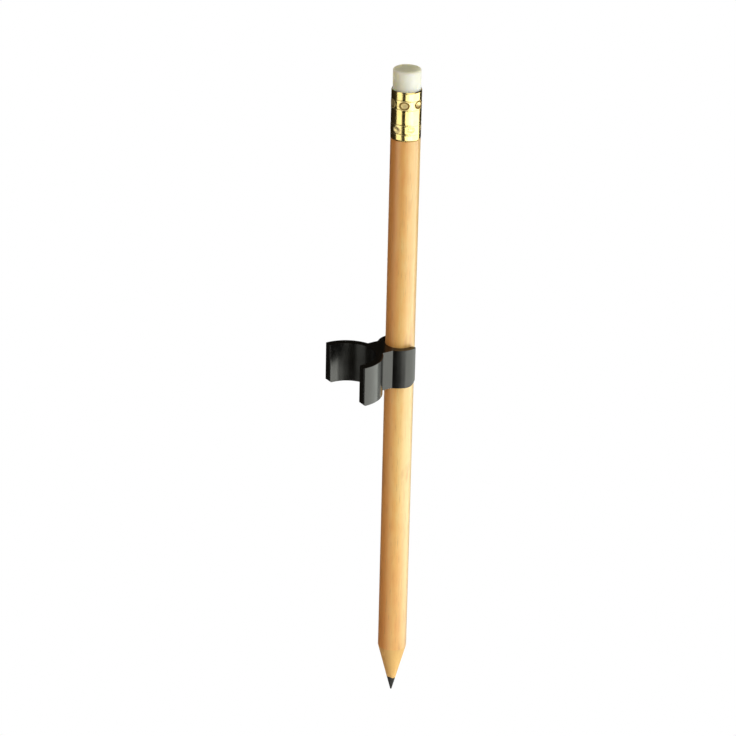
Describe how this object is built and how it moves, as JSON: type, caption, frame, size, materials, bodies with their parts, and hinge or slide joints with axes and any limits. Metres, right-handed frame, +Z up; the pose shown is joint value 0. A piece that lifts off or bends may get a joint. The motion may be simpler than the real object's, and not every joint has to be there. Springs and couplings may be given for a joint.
{
  "type": "pencil holder",
  "caption": "Black moulded double-C snap clip that grips a round upright post and holds a natural wood pencil point down, with a crimped metal ferrule and a white eraser.",
  "frame": {"origin": "on the axis of the post's seat, at half the height of the clip", "axes": "+Z up along the post and the pencil, towards the eraser; +X from the post's axis to the pencil's axis; -Y is the side of the front jaw and the front finger"},
  "size_m": [0.0217, 0.0196, 0.1866],
  "materials": {
    "clip_plastic": "black injection-moulded plastic with a polished surface",
    "barrel_wood": "natural wood under a thin clear lacquer",
    "graphite": "sharpened graphite with a soft metallic sheen",
    "ferrule_brass": "bright brass-coloured metal with rolled rings and crimped dimples",
    "eraser_rubber": "matt off-white rubber"
  },
  "bodies": {
    "clip": {"clip_bridge": "clip_plastic"},
    "front_jaw": {"post_jaw_front": "clip_plastic"},
    "rear_jaw": {"post_jaw_rear": "clip_plastic"},
    "front_finger": {"pencil_finger_front": "clip_plastic"},
    "rear_finger": {"pencil_finger_rear": "clip_plastic"},
    "pencil": {"barrel_slat_front": "barrel_wood", "barrel_slat_rear": "barrel_wood", "graphite_core": "graphite", "ferrule": "ferrule_brass", "eraser": "eraser_rubber"}
  },
  "joints": [
    {"name": "front_jaw_flex", "type": "hinge", "parent": "clip", "child": "front_jaw", "pos_m": [0.00869, -0.0038, 0], "axis": [0, 0, 1], "range_deg": [0, 6], "stiffness_Nm_per_rad": 4.5},
    {"name": "rear_jaw_flex", "type": "hinge", "parent": "clip", "child": "rear_jaw", "pos_m": [0.00869, 0.0038, 0], "axis": [0, 0, -1], "range_deg": [0, 6], "stiffness_Nm_per_rad": 4.5},
    {"name": "front_finger_flex", "type": "hinge", "parent": "clip", "child": "front_finger", "pos_m": [0.0119, -0.0038, 0], "axis": [0, 0, -1], "range_deg": [0, 8], "stiffness_Nm_per_rad": 2.5},
    {"name": "rear_finger_flex", "type": "hinge", "parent": "clip", "child": "rear_finger", "pos_m": [0.0119, 0.0038, 0], "axis": [0, 0, 1], "range_deg": [0, 8], "stiffness_Nm_per_rad": 2.5},
    {"name": "pencil_slide", "type": "slide", "parent": "clip", "child": "pencil", "axis": [0, 0, 1], "range_m": [-0.059, 0.11]}
  ]
}
